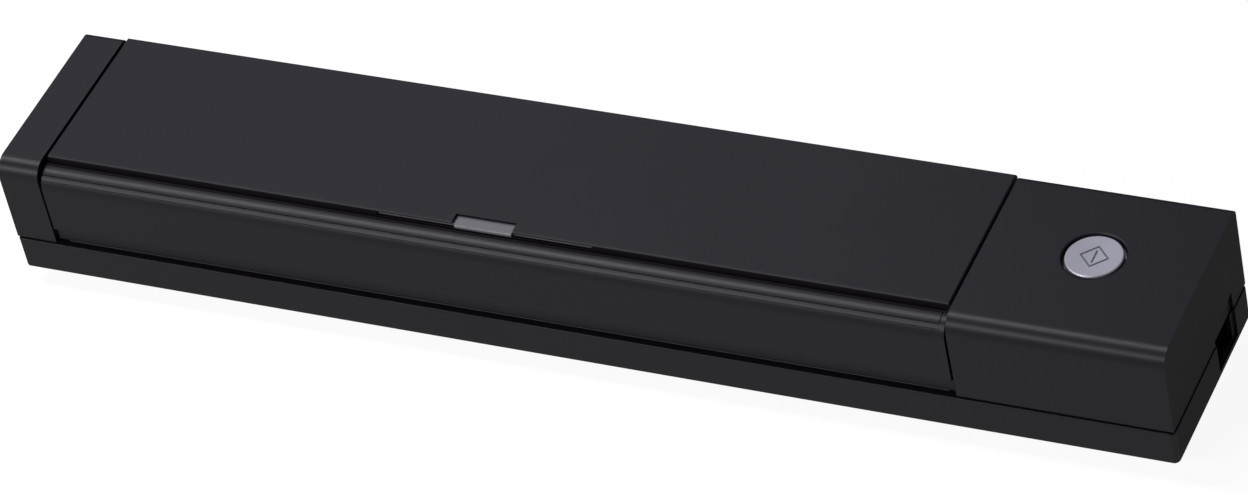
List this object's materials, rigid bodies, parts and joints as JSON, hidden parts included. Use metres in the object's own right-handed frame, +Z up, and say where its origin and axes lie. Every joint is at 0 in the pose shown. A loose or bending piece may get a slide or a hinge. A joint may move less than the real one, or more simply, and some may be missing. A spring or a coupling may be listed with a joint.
{
  "type": "document scanner",
  "caption": "Portable two-sided document scanner with a hinged feed tray, pull-out extension, opening front cover, powered rollers and sliding document guides.",
  "frame": {"origin": "middle of the outside box, at the level the feet stand on", "axes": "+X along the body towards the start button end, +Y towards the rear hinge, +Z up; the front cover faces -Y"},
  "size_m": [0.3124, 0.0556, 0.04],
  "materials": {
    "black_plastic": "satin, fine moulded texture",
    "inner_plastic": "matte moulded",
    "grey_plastic": "matte moulded",
    "gear_plastic": "natural acetal, smooth",
    "rubber": "matte",
    "steel": "bright drawn",
    "button_silver": "silver paint, satin",
    "board_green": "solder mask, semi-gloss",
    "sensor_glass": "polished"
  },
  "bodies": {
    "root": {"base_casing": "black_plastic", "left_end_block": "black_plastic", "right_block_cover": "black_plastic", "rear_cover": "black_plastic", "left_side_plate": "inner_plastic", "right_side_plate": "inner_plastic", "lower_paper_guide": "inner_plastic", "rear_image_sensor": "inner_plastic", "rear_sensor_glass": "sensor_glass", "main_circuit_board": "board_green", "button_board": "board_green", "start_switch": "inner_plastic", "auto_start_switch": "inner_plastic", "drive_motor": "steel", "gear_bracket": "steel", "port_connector": "steel", "left_feed_bush": "gear_plastic", "left_eject_bush": "gear_plastic", "right_feed_bush": "gear_plastic", "right_eject_bush": "gear_plastic", "left_tray_hinge_pin": "steel", "right_tray_hinge_pin": "steel", "left_cover_hinge_pin": "steel", "right_cover_hinge_pin": "steel", "left_front_case_screw": "steel", "left_rear_case_screw": "steel", "right_front_case_screw": "steel", "right_rear_case_screw": "steel", "left_front_foot": "rubber", "left_rear_foot": "rubber", "right_front_foot": "rubber", "right_rear_foot": "rubber"},
    "tray": {"feed_tray": "black_plastic"},
    "extension": {"tray_extension": "grey_plastic"},
    "cover": {"front_cover": "black_plastic", "nose_strip": "black_plastic", "front_inner_guide": "inner_plastic", "front_image_sensor": "inner_plastic", "front_sensor_glass": "sensor_glass", "separation_pad": "rubber"},
    "pinch": {"pinch_shaft": "steel", "left_pinch_roller": "gear_plastic", "right_pinch_roller": "gear_plastic"},
    "feed": {"feed_shaft": "steel", "feed_roller": "rubber", "feed_gear": "gear_plastic"},
    "eject": {"eject_shaft": "steel", "left_eject_roller": "rubber", "right_eject_roller": "rubber", "eject_gear": "gear_plastic"},
    "idler": {"idler_gear": "gear_plastic"},
    "compound": {"compound_gear": "gear_plastic"},
    "pinion": {"motor_pinion": "steel"},
    "button": {"start_button": "button_silver"},
    "slider": {"auto_start_slider": "black_plastic"},
    "left_guide": {"left_document_guide": "inner_plastic"},
    "right_guide": {"right_document_guide": "inner_plastic"},
    "rack_pinion": {"guide_pinion": "gear_plastic"}
  },
  "joints": [
    {"name": "tray_hinge", "type": "hinge", "parent": "root", "child": "tray", "pos_m": [-0.02165, 0.02525, 0.0347], "axis": [-1, 0, 0], "range_deg": [0, 120]},
    {"name": "extension_slide", "type": "slide", "parent": "tray", "child": "extension", "axis": [0, -1, 0], "range_m": [0, 0.03]},
    {"name": "cover_hinge", "type": "hinge", "parent": "root", "child": "cover", "pos_m": [-0.02165, -0.02475, 0.0171], "axis": [1, 0, 0], "range_deg": [0, 75]},
    {"name": "pinch_spin", "type": "hinge", "parent": "cover", "child": "pinch", "pos_m": [-0.02165, -0.02307, 0.02256], "axis": [1, 0, 0], "continuous": true},
    {"name": "feed_spin", "type": "hinge", "parent": "root", "child": "feed", "pos_m": [-0.02165, -0.00896, 0.02672], "axis": [1, 0, 0], "continuous": true},
    {"name": "eject_spin", "type": "hinge", "parent": "root", "child": "eject", "pos_m": [-0.02165, -0.01951, 0.01843], "axis": [1, 0, 0], "continuous": true},
    {"name": "idler_spin", "type": "hinge", "parent": "root", "child": "idler", "pos_m": [0.10375, -0.0102, 0.01479], "axis": [1, 0, 0], "continuous": true},
    {"name": "compound_spin", "type": "hinge", "parent": "root", "child": "compound", "pos_m": [0.10375, 0.00074, 0.0243], "axis": [1, 0, 0], "continuous": true},
    {"name": "pinion_spin", "type": "hinge", "parent": "root", "child": "pinion", "pos_m": [0.10735, 0.01262, 0.02263], "axis": [1, 0, 0], "continuous": true},
    {"name": "button_press", "type": "slide", "parent": "root", "child": "button", "axis": [0, 0, -1], "range_m": [0, 0.0006], "stiffness_N_per_m": 2000, "springref_m": -0.0004},
    {"name": "slider_travel", "type": "slide", "parent": "root", "child": "slider", "axis": [1, 0, 0], "range_m": [0, 0.004]},
    {"name": "left_guide_slide", "type": "slide", "parent": "root", "child": "left_guide", "axis": [1, 0, 0], "range_m": [0, 0.075]},
    {"name": "right_guide_slide", "type": "slide", "parent": "root", "child": "right_guide", "axis": [-1, 0, 0], "range_m": [0, 0.075]},
    {"name": "guide_pinion_spin", "type": "hinge", "parent": "root", "child": "rack_pinion", "pos_m": [-0.02165, 0.00945, 0.02924], "axis": [0, 0, 1], "range_deg": [0, 896]}
  ],
  "couplings": [
    {"joint": "eject_spin", "follows": "feed_spin", "ratio": 1.4},
    {"joint": "idler_spin", "follows": "feed_spin", "ratio": -1.4},
    {"joint": "compound_spin", "follows": "feed_spin", "ratio": -2.3333},
    {"joint": "pinion_spin", "follows": "feed_spin", "ratio": 7},
    {"joint": "right_guide_slide", "follows": "left_guide_slide", "ratio": 1},
    {"joint": "guide_pinion_spin", "follows": "left_guide_slide", "rad_per_m": 208.33}
  ]
}
